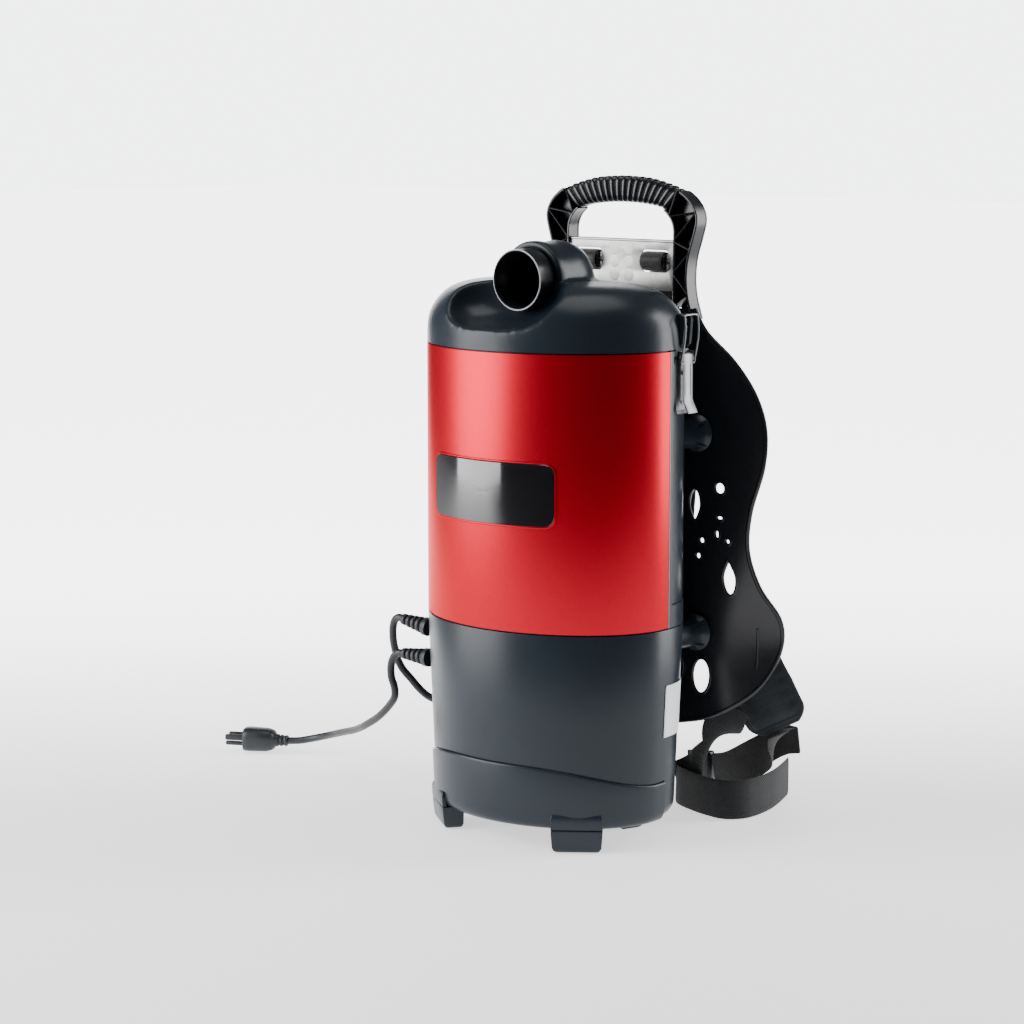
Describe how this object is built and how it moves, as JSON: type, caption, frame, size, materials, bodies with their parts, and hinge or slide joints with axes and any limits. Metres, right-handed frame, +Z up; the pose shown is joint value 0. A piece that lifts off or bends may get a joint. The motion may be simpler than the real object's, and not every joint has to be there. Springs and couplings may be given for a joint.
{
  "type": "backpack vacuum cleaner",
  "caption": "Upright tank vacuum on a moulded harness plate with carrying handle, belts, draw latches, swivelling hose intake, motor base, switch and power lead.",
  "frame": {"origin": "on the floor, under the middle of the object's bounding box without the power lead", "axes": "+Z up; the hose intake faces -Y and the wearer's side faces +Y; +X is to the right seen from the intake side"},
  "size_m": [0.6386, 0.335, 0.611],
  "materials": {
    "slate_shell": "fine moulded texture, semi-matt",
    "black_plastic": "smooth moulded, half gloss",
    "inner_plastic": "moulded",
    "red_panel": "metallic red film, glossy",
    "gloss_black": "high gloss",
    "zinc_steel": "zinc plated sheet and machined steel",
    "bright_steel": "nickel plated",
    "foot_rubber": "matt",
    "cord_rubber": "satin jacket",
    "webbing": "woven",
    "pad_fabric": "knitted cover over foam",
    "filter_paper": "felted",
    "label_film": "satin film",
    "motor_core": "varnished laminations",
    "red_switch": "moulded"
  },
  "bodies": {
    "frame": {"badge_plate": "gloss_black", "bag_collar": "filter_paper", "belt_tail_left": "webbing", "belt_tail_right": "webbing", "belt_webbing_left": "webbing", "belt_webbing_right": "webbing", "buckle_socket": "black_plastic", "buckle_tongue": "black_plastic", "exhaust_filter": "filter_paper", "fan_case": "inner_plastic", "filter_bag": "filter_paper", "front_foot_left": "foot_rubber", "front_foot_right": "foot_rubber", "harness_plate": "black_plastic", "hip_pad_left": "pad_fabric", "hip_pad_right": "pad_fabric", "latch_base_left": "bright_steel", "latch_base_right": "bright_steel", "lower_bearing": "zinc_steel", "motor_can": "zinc_steel", "motor_cradle": "inner_plastic", "motor_housing": "slate_shell", "motor_mount_ring": "foot_rubber", "plate_strap_left": "webbing", "plate_strap_right": "webbing", "plug": "cord_rubber", "power_cord": "cord_rubber", "power_strain_relief": "cord_rubber", "rating_label": "label_film", "rear_foot_left": "foot_rubber", "rear_foot_right": "foot_rubber", "red_panel": "red_panel", "shoulder_loop_left": "webbing", "shoulder_loop_right": "webbing", "shoulder_pad_left": "pad_fabric", "shoulder_pad_right": "pad_fabric", "shoulder_webbing_left": "webbing", "shoulder_webbing_right": "webbing", "steel_bracket": "zinc_steel", "strap_adjuster_left": "black_plastic", "strap_adjuster_right": "black_plastic", "switch_cord": "cord_rubber", "switch_housing": "black_plastic", "switch_strain_relief": "cord_rubber", "tank_shell": "slate_shell", "upper_bearing": "zinc_steel"},
    "lid": {"lid": "slate_shell", "lid_gasket": "foot_rubber"},
    "inlet_tube": {"inlet_tube": "black_plastic"},
    "fan": {"motor_shaft": "zinc_steel", "motor_rotor": "motor_core", "fan_impeller": "inner_plastic"},
    "base_cover": {"base_cover": "slate_shell"},
    "latch_lever_left": {"latch_lever_left": "bright_steel"},
    "latch_lever_right": {"latch_lever_right": "bright_steel"},
    "latch_bail_left": {"latch_bail_left": "bright_steel"},
    "latch_bail_right": {"latch_bail_right": "bright_steel"},
    "strap_roller_left": {"strap_roller_left": "black_plastic"},
    "strap_roller_right": {"strap_roller_right": "black_plastic"},
    "switch_rocker": {"switch_rocker": "red_switch"}
  },
  "joints": [
    {"name": "lid_lift", "type": "slide", "parent": "frame", "child": "lid", "axis": [0, 0, 1], "range_m": [0, 0.25]},
    {"name": "inlet_swivel", "type": "hinge", "parent": "lid", "child": "inlet_tube", "pos_m": [0, -0.09575, 0.519], "axis": [0, -1, 0], "continuous": true},
    {"name": "fan_spin", "type": "hinge", "parent": "frame", "child": "fan", "pos_m": [0, -0.07075, 0.12], "axis": [0, 0, 1], "continuous": true},
    {"name": "base_cover_slide", "type": "slide", "parent": "frame", "child": "base_cover", "axis": [0, -1, 0], "range_m": [0, 0.08]},
    {"name": "latch_lever_left_turn", "type": "hinge", "parent": "frame", "child": "latch_lever_left", "pos_m": [-0.129, -0.03475, 0.452], "axis": [0, 1, 0], "range_deg": [0, 120]},
    {"name": "latch_lever_right_turn", "type": "hinge", "parent": "frame", "child": "latch_lever_right", "pos_m": [0.129, -0.03475, 0.452], "axis": [0, -1, 0], "range_deg": [0, 120]},
    {"name": "latch_bail_left_turn", "type": "hinge", "parent": "latch_lever_left", "child": "latch_bail_left", "pos_m": [-0.1314, -0.03475, 0.445], "axis": [0, 1, 0], "range_deg": [-150, 0]},
    {"name": "latch_bail_right_turn", "type": "hinge", "parent": "latch_lever_right", "child": "latch_bail_right", "pos_m": [0.1314, -0.03475, 0.445], "axis": [0, -1, 0], "range_deg": [-150, 0]},
    {"name": "strap_roller_left_turn", "type": "hinge", "parent": "frame", "child": "strap_roller_left", "pos_m": [-0.0395, 0.03925, 0.5305], "axis": [1, 0, 0], "continuous": true},
    {"name": "strap_roller_right_turn", "type": "hinge", "parent": "frame", "child": "strap_roller_right", "pos_m": [0.0395, 0.03925, 0.5305], "axis": [1, 0, 0], "continuous": true},
    {"name": "switch_rocker_press", "type": "hinge", "parent": "frame", "child": "switch_rocker", "pos_m": [-0.161, 0.06085, 0.104], "axis": [1, 0, 0], "range_deg": [0, 12]}
  ],
  "couplings": [
    {"joint": "latch_bail_left_turn", "follows": "latch_lever_left_turn", "ratio": -1.25},
    {"joint": "latch_bail_right_turn", "follows": "latch_lever_right_turn", "ratio": -1.25}
  ]
}
